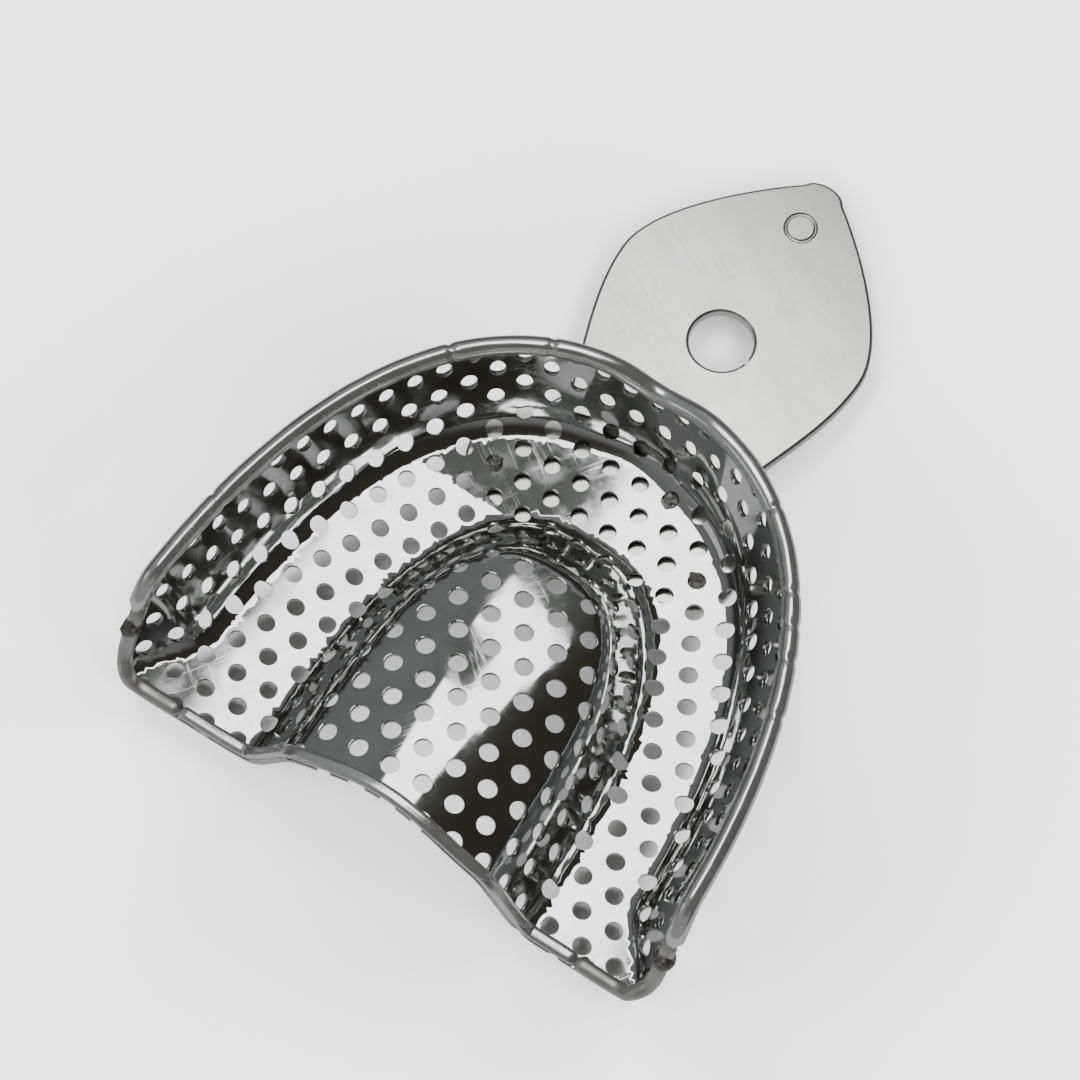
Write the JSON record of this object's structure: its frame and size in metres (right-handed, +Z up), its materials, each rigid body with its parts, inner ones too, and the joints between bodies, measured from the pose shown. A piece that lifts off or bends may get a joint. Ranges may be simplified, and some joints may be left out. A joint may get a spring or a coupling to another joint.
{
  "type": "dental impression tray",
  "caption": "Perforated upper dental impression tray in polished steel: pressed arch trough with palate vault, beaded rim and a flat spade handle with a hanging hole.",
  "frame": {"origin": "under the middle of the whole tray and handle, on the table it lies on", "axes": "+Y from the handle's tip towards the tray's back border, +Z up on the side that faces the teeth, X across the arch, whose outline is symmetric about X = 0"},
  "size_m": [0.062, 0.0814, 0.0126],
  "materials": {
    "perforated_sheet": "polished stainless steel sheet",
    "rim_wire": "bright polished stainless steel wire",
    "handle_steel": "polished stainless steel with fine brushing",
    "solder": "rough silver solder"
  },
  "bodies": {
    "root": {"tray_shell": "perforated_sheet", "outer_rim_bead": "rim_wire", "posterior_rim_strip": "rim_wire", "left_corner_wrap": "rim_wire", "right_corner_wrap": "rim_wire", "left_bead_solder": "solder", "right_bead_solder": "solder", "left_strip_solder": "solder", "right_strip_solder": "solder", "handle_plate": "handle_steel", "handle_braze": "solder", "left_foot_solder": "solder", "right_foot_solder": "solder", "front_foot_solder": "solder"}
  },
  "joints": []
}
